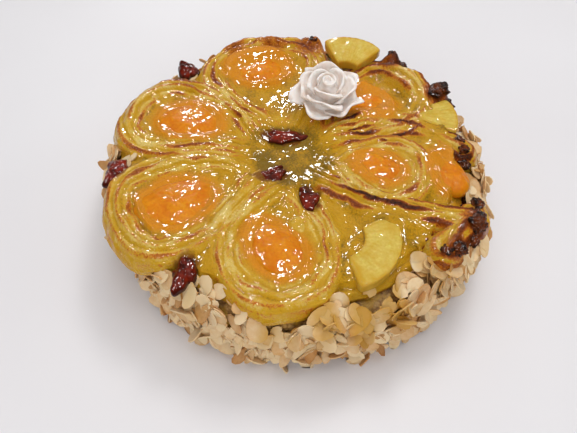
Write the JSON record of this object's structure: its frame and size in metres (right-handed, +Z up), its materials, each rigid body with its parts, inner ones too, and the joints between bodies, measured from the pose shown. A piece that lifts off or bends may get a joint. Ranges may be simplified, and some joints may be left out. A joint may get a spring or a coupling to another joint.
{
  "type": "sponge cake",
  "caption": "Round sponge cake coated with flaked almonds, topped with piped baked almond paste, apricot halves, pineapple, cherries and a sugar rose.",
  "frame": {"origin": "middle of the cake's flat underside", "axes": "+Z up, -Y to the front of the cake, which the picture shows nearest"},
  "size_m": [0.2509, 0.2532, 0.0802],
  "materials": {
    "almond_sponge": "toasted flaked almonds on a pale baked crumb, matt",
    "piped_paste": "baked golden almond paste browned on its crests, under clear glaze",
    "apricot": "glazed cooked fruit, moist and glossy",
    "cherry": "dark red glazed fruit, glossy",
    "pineapple": "pale yellow fibrous fruit, moist",
    "sugar_rose": "off-white sugar paste, matt"
  },
  "bodies": {
    "root": {"sponge": "almond_sponge", "piped_paste": "piped_paste", "apricot_1": "apricot", "apricot_2": "apricot", "apricot_3": "apricot", "apricot_4": "apricot", "apricot_5": "apricot", "apricot_6": "apricot", "apricot_7": "apricot", "cherry_1": "cherry", "cherry_2": "cherry", "cherry_3": "cherry", "cherry_4": "cherry", "cherry_5": "cherry", "cherry_6": "cherry", "pineapple_1": "pineapple", "pineapple_2": "pineapple", "pineapple_3": "pineapple", "sugar_rose": "sugar_rose"}
  },
  "joints": []
}
